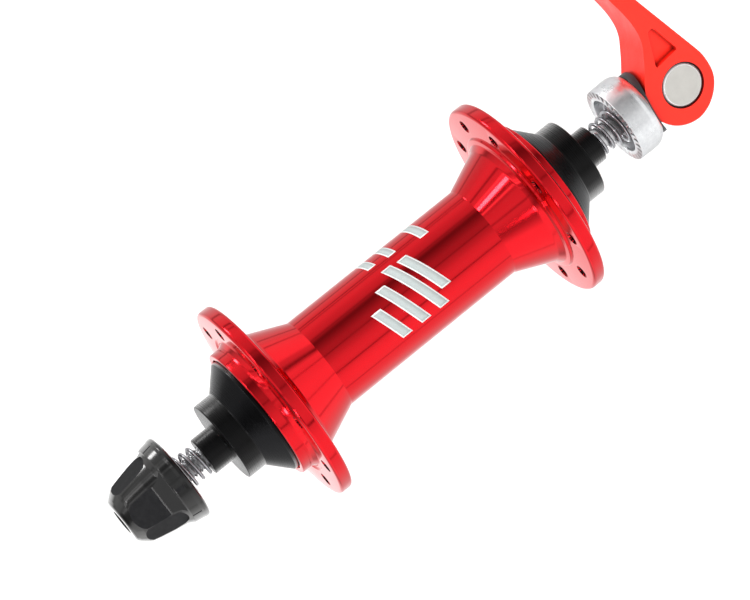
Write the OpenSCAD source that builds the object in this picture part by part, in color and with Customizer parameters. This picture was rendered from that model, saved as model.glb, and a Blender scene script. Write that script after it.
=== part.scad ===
// Front bicycle hub with radial-spoke flanges, cartridge bearings, threaded-on end caps
// and an external-cam quick release.
// Millimetres. Origin at the hub centre, on the spin axis. +Y runs along the axis
// towards the lever side, +Z points up along the fork legs, +X is the riding direction.
// "left" is the lever side (+Y), "right" is the nut side (-Y).

/* [Hub shell] */

// distance between the two outer faces that the fork tips clamp
over_locknut = 100; // [98:0.5:102]
// distance between the middle planes of the two spoke flanges
flange_spacing = 71; // [70:0.5:72]
// outside diameter of each spoke flange
flange_dia = 49.2; // [48:0.2:52]
// thickness of each spoke flange
flange_thick = 3.2; // [3:0.1:3.4]
// spoke holes in each flange
spoke_holes = 9; // [8:1:12]
// diameter of a spoke hole of the right flange
hole_dia_right = 2.64; // [2.64:0.02:2.8]
// diameter of a spoke hole of the left flange
hole_dia_left = 2.3; // [2.2:0.02:2.3]
// pitch circle diameter of the spoke holes
spoke_pcd = 41; // [40.6:0.2:42]
// angle of the first spoke hole of the right flange, from +Z towards +X
spoke_phase = 7; // [0:1:39]
// outside diameter of the middle barrel
barrel_dia = 22.2; // [21.8:0.1:24]
// half the length of the straight middle barrel
barrel_half = 23; // [21:0.5:24]
// outside diameter of the ring that holds each bearing
collar_dia = 32; // [31.6:0.1:33]

/* [Bearings] */

// bore of the bearing
bearing_bore = 15; // [15:1:15]
// outside diameter of the bearing
bearing_dia = 28; // [28:1:28]
// width of the bearing
bearing_width = 7; // [7:1:7]
// balls in each bearing
ball_count = 12; // [10:1:12]
// diameter of one ball
ball_dia = 3.5; // [3.3:0.1:3.5]

/* [Axle ends] */

// diameter of the stub that sits in the fork slot
stub_dia = 9; // [8.8:0.1:9]
// how far the stub stands out of the clamping face
stub_len = 5; // [4:0.5:5]
// diameter of the clamping face of the end cap
cap_face_dia = 19.2; // [18:0.2:20]
// largest diameter of the end cap
cap_rim_dia = 28.6; // [28:0.2:28.8]

/* [Quick release] */

// thickness of the fork tip that the quick release is set for
tip_thick = 11; // [10.5:0.5:12]
// diameter of the skewer rod
rod_dia = 5; // [5:0.1:5]
// pitch of the skewer thread, for the record of how far one turn moves the nut
rod_pitch = 0.8; // [0.8:0.1:0.8]
// diameter of the pivot pin of the lever
pin_dia = 9.8; // [9:0.1:9.8]
// width of the lever at its eye
lever_width = 11; // [11:0.5:12]
// travel of the rod from lever closed to lever fully open
cam_lift = 1.2; // [1:0.1:1.4]
// angle of the closed lever arm about the axis, from +Z towards +X
lever_angle = -35.5; // [-60:0.5:60]
// angle of the first finger flat of the nut about the axis, from +Z towards +X
nut_angle = 40; // [0:1:119]

/* [Hidden] */

old = over_locknut / 2;            // clamping face
fm = flange_spacing / 2;           // flange middle plane
fi = fm - flange_thick / 2;        // flange inner face
fo = fm + flange_thick / 2;        // flange outer face
fr = flange_dia / 2;
br = barrel_dia / 2;
cr = collar_dia / 2;
collar_end = fo + 3.4;             // outer edge of the bearing ring
b_in = 31.9;                       // inboard face of the bearing
b_out = b_in + bearing_width;      // outboard face of the bearing
b_mid = (b_in + b_out) / 2;
b_bore = bearing_bore / 2;
b_rad = bearing_dia / 2;
pitch_r = (b_bore + b_rad) / 2;    // circle of the ball centres
ball_r = ball_dia / 2;
groove_r = ball_r + 0.05;
gap = 0.02;                        // air between pieces that rest on each other
tip_face = old + tip_thick;        // outer face of the fork tip
rr = rod_dia / 2;
stub_end = old + stub_len;
axle_end = old - 3.7;
cam_h0 = 9.4;                      // pin centre to the cam, closed
cam_k = cam_lift / PI;             // cam drop per radian
seat_end = tip_face + 5.6;
bush_len = 1.5;
bush_hollow = 16;                  // radius of the hollow that the cam turns in
hollow_y = seat_end + 0.05 + bush_len + bush_hollow;
pin_y = seat_end + 0.05 + bush_len + 0.03 + cam_h0;
lw = lever_width / 2;
rod_tail = tip_face + 13.4;
N = 96;                            // sides of a full round
red = [0.80, 0.05, 0.08];
black = [0.09, 0.09, 0.10];
steel = [0.72, 0.73, 0.75];
orange = [0.95, 0.22, 0.13];

// turn a profile of [radius, distance along the axis] about the spin axis;
// side 1 builds it on the left, side -1 on the right
module turned(profile, side = 1) {
    rotate([side > 0 ? -90 : 90, 0, 0]) rotate_extrude($fn = N) polygon(profile);
}

// place children on a circle about the spin axis, angle from +Z towards +X
module around(count, phase) {
    for (i = [0 : count - 1]) rotate([0, phase + i * 360 / count, 0]) children();
}

module hub_shell() {
    inner = pitch_r + 1.3;         // bore behind the bearing
    color(red) difference() {
        turned([
            [0, -collar_end], [cr - 0.35, -collar_end], [cr, -collar_end + 0.35],
            [cr, -fo - 0.9], [cr + 0.25, -fo - 0.35], [cr + 0.8, -fo + 0.35], [cr + 1.6, -fo + 0.35],
            [cr + 2.0, -fo],
            [fr - 0.7, -fo], [fr - 0.2, -fo + 0.2], [fr, -fo + 0.7],
            [fr, -fi - 0.7], [fr - 0.2, -fi - 0.2], [fr - 0.7, -fi],
            [cr + 1.5, -fi], [cr + 1.3, -fi + 0.5], [cr + 0.2, -fi + 0.55], [cr - 0.4, -fi + 0.9],
            [br, -barrel_half], [br, barrel_half],
            [cr - 0.4, fi - 0.9], [cr + 0.2, fi - 0.55], [cr + 1.3, fi - 0.5], [cr + 1.5, fi],
            [fr - 0.7, fi], [fr - 0.2, fi + 0.2], [fr, fi + 0.7],
            [fr, fo - 0.7], [fr - 0.2, fo - 0.2], [fr - 0.7, fo],
            [cr + 2.0, fo],
            [cr + 1.6, fo - 0.35], [cr + 0.8, fo - 0.35], [cr + 0.25, fo + 0.35], [cr, fo + 0.9],
            [cr, collar_end - 0.35], [cr - 0.35, collar_end], [0, collar_end]
        ]);
        // passage for the axle
        rotate([90, 0, 0]) cylinder(r = 9.3, h = 120, center = true, $fn = N);
        for (s = [-1, 1]) {
            // bearing seat, relief behind the bearing, and mouth around the end cap
            turned([[0, b_in - 0.03], [b_rad, b_in - 0.03], [b_rad, 60], [0, 60]], s);
            turned([[0, b_in - 0.8], [inner - 0.6, b_in - 0.8], [inner, b_in], [0, b_in]], s);
            turned([[0, b_out + 0.15], [cap_rim_dia / 2 + 0.35, b_out + 0.15],
                [cap_rim_dia / 2 + 0.35, 60], [0, 60]], s);
            // spoke holes, those of the left flange half a step round from the right
            around(spoke_holes, spoke_phase + (s > 0 ? 180 / spoke_holes : 0))
                translate([0, s * fm, spoke_pcd / 2]) rotate([90, 0, 0])
                    cylinder(d = s > 0 ? hole_dia_left : hole_dia_right, h = flange_thick + 2,
                        center = true, $fn = 32);
        }
    }
}

module axle() {
    color(steel) difference() {
        union() {
            rotate([90, 0, 0]) cylinder(r = 8.5, h = 2 * (b_in - 0.03), center = true, $fn = N);
            for (s = [-1, 1]) turned([
                [0, 0], [b_bore - gap, 0], [b_bore - gap, 43.0], [6.4, 43.0], [6.4, 44.4],
                [b_bore - gap, 44.4], [b_bore - gap, axle_end - 0.3], [b_bore - 0.4, axle_end], [0, axle_end]
            ], s);
        }
        rotate([90, 0, 0]) cylinder(r = 5, h = 120, center = true, $fn = N);
    }
}

module end_cap(s) {
    bore = b_bore + 0.03;
    rim = cap_rim_dia / 2;
    face = cap_face_dia / 2;
    color(black) turned([
        [bore, b_out + gap], [b_bore + 1.6, b_out + gap], [b_bore + 1.6, b_out + 0.6],
        [rim - 0.3, b_out + 0.6], [rim, b_out + 0.9], [rim, b_out + 1.95], [rim - 0.35, b_out + 2.3],
        [face, 45.6], [face, old - 0.4], [face - 0.4, old],
        [stub_dia / 2, old], [stub_dia / 2, stub_end - 0.3], [stub_dia / 2 - 0.3, stub_end],
        [rr + 0.3, stub_end], [rr + 0.3, axle_end + 0.1], [bore, axle_end + 0.1]
    ], s);
}
module end_cap_right() { end_cap(-1); }
module end_cap_left() { end_cap(1); }

module cap_oring(s) {
    color([0.05, 0.05, 0.05]) rotate([90, 0, 0]) translate([0, 0, -s * 43.7])
        rotate_extrude($fn = N) translate([6.965, 0]) circle(r = 0.54, $fn = 24);
}
module cap_oring_right() { cap_oring(-1); }
module cap_oring_left() { cap_oring(1); }

module inner_race(s) {
    color(steel) difference() {
        turned([[b_bore, b_in + 0.2], [b_bore + 0.2, b_in], [9.3, b_in], [9.3, b_out],
            [b_bore + 0.2, b_out], [b_bore, b_out - 0.2]], s);
        ball_track(s);
    }
}
module outer_race(s) {
    color(steel) difference() {
        turned([[12.2, b_in], [b_rad - 0.3, b_in], [b_rad - gap, b_in + 0.3],
            [b_rad - gap, b_out - 0.3], [b_rad - 0.3, b_out], [12.2, b_out]], s);
        ball_track(s);
    }
}
module ball_track(s) {
    rotate([90, 0, 0]) translate([0, 0, -s * b_mid])
        rotate_extrude($fn = N) translate([pitch_r, 0]) circle(r = groove_r, $fn = 48);
}
module inner_race_right() { inner_race(-1); }
module inner_race_left() { inner_race(1); }
module outer_race_right() { outer_race(-1); }
module outer_race_left() { outer_race(1); }

module balls(s) {
    color(steel) around(ball_count, 0)
        translate([0, s * b_mid, pitch_r]) sphere(r = ball_r, $fn = 24);
}
module bearing_balls_right() { balls(-1); }
module bearing_balls_left() { balls(1); }

module ball_cage(s) {
    color([0.75, 0.70, 0.58]) difference() {
        turned([[pitch_r - 0.6, b_mid - 2.4], [pitch_r + 0.6, b_mid - 2.4],
            [pitch_r + 0.6, b_mid + 0.9], [pitch_r - 0.6, b_mid + 0.9]], s);
        around(ball_count, 0)
            translate([0, s * b_mid, pitch_r]) sphere(r = ball_r + 0.04, $fn = 24);
    }
}
module ball_cage_right() { ball_cage(-1); }
module ball_cage_left() { ball_cage(1); }

module seal(s, outboard) {
    y0 = outboard ? b_out - 0.6 : b_in + 0.2;
    color([0.08, 0.08, 0.09]) turned([[9.36, y0], [12.18, y0], [12.18, y0 + 0.4], [9.36, y0 + 0.4]], s);
}
module outboard_seal_right() { seal(-1, true); }
module outboard_seal_left() { seal(1, true); }
module inboard_seal_right() { seal(-1, false); }
module inboard_seal_left() { seal(1, false); }

module skewer_rod() {
    color(steel) union() {
        turned([[0, -rod_tail], [rr - 0.4, -rod_tail], [rr, -rod_tail + 0.5],
            [rr, pin_y + 1.5], [rr - 0.4, pin_y + 1.9], [0, pin_y + 1.9]]);
    }
}

// lever pieces are drawn with the arm along +Z and the pin along X, then turned about Y
module in_lever_frame() {
    rotate([0, lever_angle, 0]) translate([0, pin_y, 0]) children();
}

module pivot_pin() {
    pr = pin_dia / 2;
    color(steel) in_lever_frame() difference() {
        rotate([0, 90, 0]) rotate_extrude($fn = N) polygon([
            [0, -lw + 0.1], [pr - 0.4, -lw + 0.1], [pr, -lw + 0.5],
            [pr, lw - 0.5], [pr - 0.4, lw - 0.1], [0, lw - 0.1]]);
        rotate([90, 0, 0]) translate([0, 0, -2.2]) cylinder(r = rr + gap, h = 20, $fn = 48);
    }
}

// outer edge of the lever and thickness of its arm against the distance b from the pin
function arm_out(b) = b < 5 ? 7.6 - 0.0391 * pow(b - 0.6, 2)
    : b < 26 ? 6.843 - 0.344 * (b - 5)
    : -0.381 - 5.54 * (1 - exp(-(b - 26) / 16));
function arm_t(b) = 3.6 + 5.0 * exp(-(b - 12) / 5.5) - 1.1 * pow(max(0, b - 26) / 26, 2);
arm_tip = 52;
// reach of the cam from the pin, at the angle f from the bushing, and its change per radian;
// the last term is a relief that keeps clear of the bushing
function relief_u(f) = min(1, max(0, (f - 85) / 60));
function cam_h(f) = cam_h0 - cam_k * f * PI / 180 - 0.6 * relief_u(f) * relief_u(f) * (3 - 2 * relief_u(f));
function cam_dh(f) = -cam_k - 0.6 * 6 * relief_u(f) * (1 - relief_u(f)) / (60 * PI / 180);

module lever_outline() {
    polygon(concat(
        [for (f = [0 : 3 : 180]) [-cam_h(f) * cos(f) + cam_dh(f) * sin(f), -cam_h(f) * sin(f) - cam_dh(f) * cos(f)]],
        [for (b = [0.9 : 0.9 : arm_tip - 0.1]) [arm_out(b), b]],
        [for (f = [0 : 20 : 180]) [arm_out(arm_tip) - 1.25 + 1.25 * cos(f), arm_tip + 1.25 * sin(f)]],
        [for (b = [arm_tip - 0.9 : -0.9 : 12]) [arm_out(b) - arm_t(b), b]],
        [[-4.75, 10.8], [-5.45, 9.4], [-6.2, 8.05], [-6.91, 6.85], [-7.74, 5.39], [-8.65, 3.5], [0.15 - cam_h0, 1.9]]
    ));
}

module qr_lever() {
    color(orange) in_lever_frame() difference() {
        intersection() {
            // outline x -> +Y, outline y -> +Z, thickness along X
            rotate([90, 0, 90]) translate([0, 0, -lw]) linear_extrude(2 * lw) lever_outline();
            // rounded end of the arm, seen from outside
            rotate([90, 0, 0]) linear_extrude(60, center = true) union() {
                translate([-lw, -20]) square([2 * lw, 67.8]);
                translate([0, arm_tip + 1.3 - lw]) circle(r = lw, $fn = 64);
            }
        }
        rotate([0, 90, 0]) cylinder(r = pin_dia / 2 + 0.05, h = 40, center = true, $fn = N);
        for (s = [-1, 1]) scale([s, 1, 1]) rotate([0, 90, 0]) translate([0, 0, lw - 0.6])
            cylinder(r = pin_dia / 2 + 0.35, h = 2, $fn = N);
        // triangular pocket in each side, between eye and arm
        for (s = [-1, 1]) scale([s, 1, 1]) rotate([90, 0, 90]) translate([0, 0, lw - 1.6])
            linear_extrude(4) polygon([[-3.16, 7.25], [2.85, 7.8], [3.03, 8.3], [1.0, 14.6], [0.33, 15.55], [-0.75, 15.4], [-1.05, 15], [-3.1, 8.1]]);
        // slot that the rod swings through
        translate([-rr - 0.3, -20, -20]) cube([2 * rr + 0.6, 40, 20 + rr + 0.3]);
    }
}

// cylinder across the axis, parallel to the lever's pin
module cross_cylinder(r) {
    rotate([0, lever_angle, 0]) translate([0, hollow_y, 0]) rotate([0, 90, 0]) cylinder(r = r, h = 40, center = true, $fn = 180);
}

module cam_bushing() {
    color(black) difference() {
        union() {
            intersection() {
                turned([[rr + 0.08, seat_end], [7.9, seat_end], [7.9, seat_end + 6], [rr + 0.08, seat_end + 6]]);
                cross_cylinder(bush_hollow + bush_len);
            }
            turned([[rr + 0.08, seat_end - 1.5], [4.7, seat_end - 1.5], [5.0, seat_end - 1.2], [5.0, seat_end + 0.6], [rr + 0.08, seat_end + 0.6]]);
        }
        cross_cylinder(bush_hollow);
    }
}

module clamp_seat() {
    color(steel) difference() {
        turned([[6.9, tip_face], [9.0, tip_face], [9.3, tip_face + 0.3], [9.4, tip_face + 3.6], [9.35, tip_face + 5.0],
            [9.15, tip_face + 5.8], [8.75, tip_face + 6.5], [8.3, tip_face + 7.0], [8.0, tip_face + 7.1],
            [rr + 0.2, tip_face + 7.1], [rr + 0.2, tip_face + 3], [6.9, tip_face + 3]]);
        turned([[0, seat_end - 1.6], [5.05, seat_end - 1.6], [5.05, seat_end + 4], [0, seat_end + 4]]);
        cross_cylinder(bush_hollow + bush_len + 0.05);
        // serrations that bite on the fork tip
        around(30, 6) translate([0, tip_face, 9.1]) rotate([0, 0, 45]) cube([0.5, 0.5, 3], center = true);
    }
}

// conical spring: narrow end on the axle stub, wide end in the recess beyond the fork tip
module cone_spring(s) {
    turns = 4.25;
    steps = 84;
    sides = 8;
    wire = 0.4;
    y0 = stub_end + 0.45;
    y1 = tip_face + 2.55;
    function rad(t) = 3.45 + 2.75 * pow(t, 4);
    pts = [for (i = [0 : steps]) let (t = i / steps, a = 360 * turns * t, r = rad(t), y = y0 + (y1 - y0) * t)
        for (j = [0 : sides - 1]) let (q = 360 * j / sides, rj = r + wire * cos(q))
            [rj * sin(a), y + wire * sin(q), rj * cos(a)]];
    side_faces = [for (i = [0 : steps - 1]) for (j = [0 : sides - 1]) let (k = (j + 1) % sides)
        each [[i * sides + j, (i + 1) * sides + k, (i + 1) * sides + j], [i * sides + j, i * sides + k, (i + 1) * sides + k]]];
    ends = [[for (j = [sides - 1 : -1 : 0]) j], [for (j = [0 : sides - 1]) steps * sides + j]];
    color(steel) rotate([s > 0 ? 0 : 180, 0, 0]) polyhedron(points = pts, faces = concat(side_faces, ends), convexity = 6);
}
module lever_spring() { cone_spring(1); }
module nut_spring() { cone_spring(-1); }

module nut_washer() {
    color(steel) difference() {
        turned([[7, tip_face], [8.6, tip_face], [8.85, tip_face + 0.25], [8.85, tip_face + 1.3], [7, tip_face + 1.3]], -1);
        around(30, 6) translate([0, -tip_face, 9]) rotate([0, 0, 45]) cube([0.5, 0.5, 3], center = true);
    }
}

// cutter for one finger flat, given as [distance from the axis, distance from the tip face]
module finger_flat(outline) {
    rotate([0, 90, 0]) rotate([180, 0, 0]) translate([0, 0, -9])
        linear_extrude(18) polygon([for (p = outline) [-p[0], tip_face + p[1]]]);
}

// cutter for one slanting flat: the same, with a round end towards the base ring
module round_flat(outline) {
    intersection() {
        finger_flat(outline);
        mirror([0, 1, 0]) translate([0, tip_face, 0]) union() {
            translate([0, 8.0, 0]) cylinder(r = 3.3, h = 20, $fn = 64);
            translate([-3.3, 8.0, 0]) cube([6.6, 12, 20]);
        }
    }
}

module nut_body() {
    color(black) difference() {
        turned([for (p = [
            [8.95, 0.3], [10.05, 0.3], [10.3, 0.55], [10.3, 1.2], [10.1, 1.9], [9.85, 3.4], [9.75, 4.0],
            [9.6, 4.2], [9.3, 4.7], [8.95, 5.3], [8.45, 8.3], [7.75, 11.5], [7.3, 13.3], [6.9, 14.0], [5.8, 15.3],
            [5.2, 15.9], [4.8, 16.1], [2.95, 16.1], [2.65, 15.8], [2.65, 13.4],
            [4.5, 13.4], [4.5, 3], [6.9, 3], [6.9, 1.35], [8.95, 1.35]
        ]) [p[0], tip_face + p[1]]], -1);
        // three broad finger flats, each with a steeper run-out under the base ring
        around(3, nut_angle) finger_flat([[5.9, 17], [7.78, 7.3], [7.85, 7.15], [7.95, 4.25], [13, 4.25], [13, 17]]);
        // three slanting flats beside them
        around(3, nut_angle + 46) round_flat([[6.14, 17], [8.7, 4.7], [13, 4.7], [13, 17]]);
    }
}

module nut_insert() {
    color(steel) difference() {
        rotate([90, 0, 0]) translate([0, 0, tip_face + 3.02]) cylinder(r = 4.48, h = 8, $fn = N);
        rotate([90, 0, 0]) translate([0, 0, tip_face]) cylinder(r = rr + 0.05, h = 20, $fn = 48);
    }
}

module nut_lock_ring() {
    color([0.85, 0.86, 0.80]) difference() {
        rotate([90, 0, 0]) translate([0, 0, tip_face + 11.05]) cylinder(r = 4.46, h = 2.3, $fn = N);
        rotate([90, 0, 0]) translate([0, 0, tip_face]) cylinder(r = rr + 0.03, h = 20, $fn = 48);
    }
}

hub_shell();
axle();
end_cap_right();
end_cap_left();
cap_oring_right();
cap_oring_left();
inner_race_right();
inner_race_left();
outer_race_right();
outer_race_left();
bearing_balls_right();
bearing_balls_left();
ball_cage_right();
ball_cage_left();
outboard_seal_right();
outboard_seal_left();
inboard_seal_right();
inboard_seal_left();
skewer_rod();
pivot_pin();
qr_lever();
cam_bushing();
clamp_seat();
lever_spring();
nut_spring();
nut_washer();
nut_body();
nut_insert();
nut_lock_ring();
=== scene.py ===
"""Looks of the front bicycle hub with quick release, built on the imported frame.

Frame: metres, +Y along the spin axis towards the lever, +Z up along the fork legs, +X forward.
Every shape here is computed; lengths in the helper calls are millimetres.
"""

import math
import random

import bmesh
import bpy
from mathutils import Matrix, Vector

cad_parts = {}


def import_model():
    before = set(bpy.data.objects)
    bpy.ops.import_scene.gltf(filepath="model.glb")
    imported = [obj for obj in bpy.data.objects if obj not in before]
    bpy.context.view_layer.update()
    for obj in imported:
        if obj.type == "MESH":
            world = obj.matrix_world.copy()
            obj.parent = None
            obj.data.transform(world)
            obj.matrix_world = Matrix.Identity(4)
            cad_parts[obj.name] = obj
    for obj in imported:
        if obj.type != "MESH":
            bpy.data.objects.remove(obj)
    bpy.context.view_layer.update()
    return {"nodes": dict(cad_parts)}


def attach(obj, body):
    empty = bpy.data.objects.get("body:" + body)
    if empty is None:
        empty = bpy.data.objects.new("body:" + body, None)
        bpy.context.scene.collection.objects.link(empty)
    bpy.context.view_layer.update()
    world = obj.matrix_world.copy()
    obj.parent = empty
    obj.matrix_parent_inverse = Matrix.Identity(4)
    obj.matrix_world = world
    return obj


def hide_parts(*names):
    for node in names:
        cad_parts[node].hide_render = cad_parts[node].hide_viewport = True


random.seed(7)
MM = 0.001
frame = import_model()
N = frame["nodes"]
SCENE = bpy.context.scene


# ------------------------------------------------------------------ mesh help
def new_object(name, mesh):
    o = bpy.data.objects.new(name, mesh)
    SCENE.collection.objects.link(o)
    return o


def finish_mesh(o, angle=32):
    for p in o.data.polygons:
        p.use_smooth = True
    o.data.set_sharp_from_angle(angle=math.radians(angle))
    return o


def tidy(o, angle=32, dist=0.002):
    """Merges doubled points and drops faces without area and loose crumbs. dist in mm."""
    bm = bmesh.new()
    bm.from_mesh(o.data)
    bmesh.ops.remove_doubles(bm, verts=bm.verts[:], dist=dist * MM)
    bmesh.ops.dissolve_degenerate(bm, edges=bm.edges[:], dist=dist * MM)
    left, islands = set(bm.faces), []
    while left:
        stack = [left.pop()]
        island = list(stack)
        while stack:
            for e in stack.pop().edges:
                for f in e.link_faces:
                    if f in left:
                        left.discard(f)
                        stack.append(f)
                        island.append(f)
        islands.append(island)
    most = max(len(i) for i in islands)
    crumbs = [f for i in islands if len(i) < most * 0.05 for f in i]
    if crumbs:
        bmesh.ops.delete(bm, geom=crumbs, context="FACES")
    loose = [v for v in bm.verts if not v.link_faces]
    if loose:
        bmesh.ops.delete(bm, geom=loose, context="VERTS")
    bm.to_mesh(o.data)
    bm.free()
    o.data.update()
    return finish_mesh(o, angle)


def rounded(points, seg=5):
    """points: (r, y) or (r, y, corner radius), closed loop. Returns the loop with its corners rounded."""
    out = []
    n = len(points)
    for i, p in enumerate(points):
        rad = p[2] if len(p) > 2 else 0
        a = Vector(points[i - 1][:2])
        b = Vector(p[:2])
        c = Vector(points[(i + 1) % n][:2])
        u, v = (a - b), (c - b)
        if rad <= 0 or u.length < 1e-9 or v.length < 1e-9:
            out.append(b)
            continue
        lu, lv = u.length, v.length
        u.normalize()
        v.normalize()
        ang = math.acos(max(-1, min(1, u.dot(v))))
        if ang > math.pi - 0.02:
            out.append(b)
            continue
        t = min(rad / math.tan(ang / 2), lu * 0.48, lv * 0.48)
        rad = t * math.tan(ang / 2)
        centre = b + (u + v).normalized() * (rad / math.sin(ang / 2))
        s, e = b + u * t - centre, b + v * t - centre
        a0 = math.atan2(s.y, s.x)
        a1 = math.atan2(e.y, e.x)
        d = (a1 - a0 + math.pi) % (2 * math.pi) - math.pi
        for k in range(seg + 1):
            q = a0 + d * k / seg
            out.append(centre + Vector((math.cos(q), math.sin(q))) * rad)
    return out


def lathe(name, points, side=1, segs=192, seg=5, shape=None, angle=32):
    """Turns a closed profile of (r, y[, corner radius]) in millimetres about the Y axis.
    side -1 mirrors it to the nut side. shape(r, y, angle) may change a point's radius."""
    loop = rounded(points, seg)
    m = len(loop)
    area = sum(loop[i - 1].x * loop[i].y - loop[i].x * loop[i - 1].y for i in range(m))
    if area * side < 0:
        loop = loop[::-1]
    verts, faces = [], []
    for k in range(segs):
        a = 2 * math.pi * k / segs
        sa, ca = math.sin(a), math.cos(a)
        for p in loop:
            r = shape(p.x, p.y, a) if shape else p.x
            verts.append((r * sa * MM, side * p.y * MM, r * ca * MM))
    for k in range(segs):
        k2 = (k + 1) % segs
        for i in range(m):
            j = (i + 1) % m
            faces.append((k * m + i, k * m + j, k2 * m + j, k2 * m + i))
    me = bpy.data.meshes.new(name)
    me.from_pydata(verts, [], faces)
    bm = bmesh.new()
    bm.from_mesh(me)
    bmesh.ops.remove_doubles(bm, verts=bm.verts, dist=1e-7)
    bmesh.ops.dissolve_degenerate(bm, dist=1e-8, edges=bm.edges)
    bmesh.ops.recalc_face_normals(bm, faces=bm.faces)
    bm.to_mesh(me)
    bm.free()
    return finish_mesh(new_object(name, me), angle)


def apply_modifiers(o):
    deps = bpy.context.evaluated_depsgraph_get()
    me = bpy.data.meshes.new_from_object(o.evaluated_get(deps))
    o.modifiers.clear()
    o.data = me
    return o


def cut(o, tool, operation="DIFFERENCE", angle=32):
    m = o.modifiers.new("cut", "BOOLEAN")
    m.operation = operation
    m.solver = "EXACT"
    m.object = tool
    bpy.context.view_layer.update()
    apply_modifiers(o)
    bpy.data.objects.remove(tool)
    return finish_mesh(o, angle)


def bevel(o, width, segments=3, limit=30, angle=40):
    m = o.modifiers.new("bevel", "BEVEL")
    m.width = width * MM
    m.segments = segments
    m.limit_method = "ANGLE"
    m.angle_limit = math.radians(limit)
    m.miter_outer = "MITER_ARC"
    m.use_clamp_overlap = True
    bpy.context.view_layer.update()
    apply_modifiers(o)
    return finish_mesh(o, angle)


def prism(name, outline, half, matrix=None):
    """Extrudes a 2D outline (x, y in mm) to +-half mm along z, then applies matrix."""
    n = len(outline)
    verts = [(x * MM, y * MM, -half * MM) for x, y in outline] + [
        (x * MM, y * MM, half * MM) for x, y in outline
    ]
    faces = [tuple(range(n - 1, -1, -1)), tuple(range(n, 2 * n))]
    faces += [(i, (i + 1) % n, n + (i + 1) % n, n + i) for i in range(n)]
    me = bpy.data.meshes.new(name)
    me.from_pydata(verts, [], faces)
    bm = bmesh.new()
    bm.from_mesh(me)
    bmesh.ops.recalc_face_normals(bm, faces=bm.faces)
    bm.to_mesh(me)
    bm.free()
    if matrix:
        me.transform(matrix)
    return new_object(name, me)


def join_meshes(name, objects):
    bm = bmesh.new()
    for o in objects:
        bm.from_mesh(o.data)
        bpy.data.objects.remove(o)
    me = bpy.data.meshes.new(name)
    bm.to_mesh(me)
    bm.free()
    return new_object(name, me)


def revolve_z(name, points, segs, matrix):
    """Turns an open profile (r, z) about Z, closed by its two ends on the axis, then applies matrix."""
    verts, faces = [], []
    m = len(points)
    for k in range(segs):
        a = 2 * math.pi * k / segs
        for r, z in points:
            verts.append((r * math.cos(a) * MM, r * math.sin(a) * MM, z * MM))
    for k in range(segs):
        k2 = (k + 1) % segs
        for i in range(m - 1):
            faces.append((k * m + i, k2 * m + i, k2 * m + i + 1, k * m + i + 1))
    me = bpy.data.meshes.new(name)
    me.from_pydata(verts, [], faces)
    bm = bmesh.new()
    bm.from_mesh(me)
    bmesh.ops.remove_doubles(bm, verts=bm.verts, dist=1e-7)
    bmesh.ops.recalc_face_normals(bm, faces=bm.faces)
    bm.to_mesh(me)
    bm.free()
    me.transform(matrix)
    return new_object(name, me)


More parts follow.
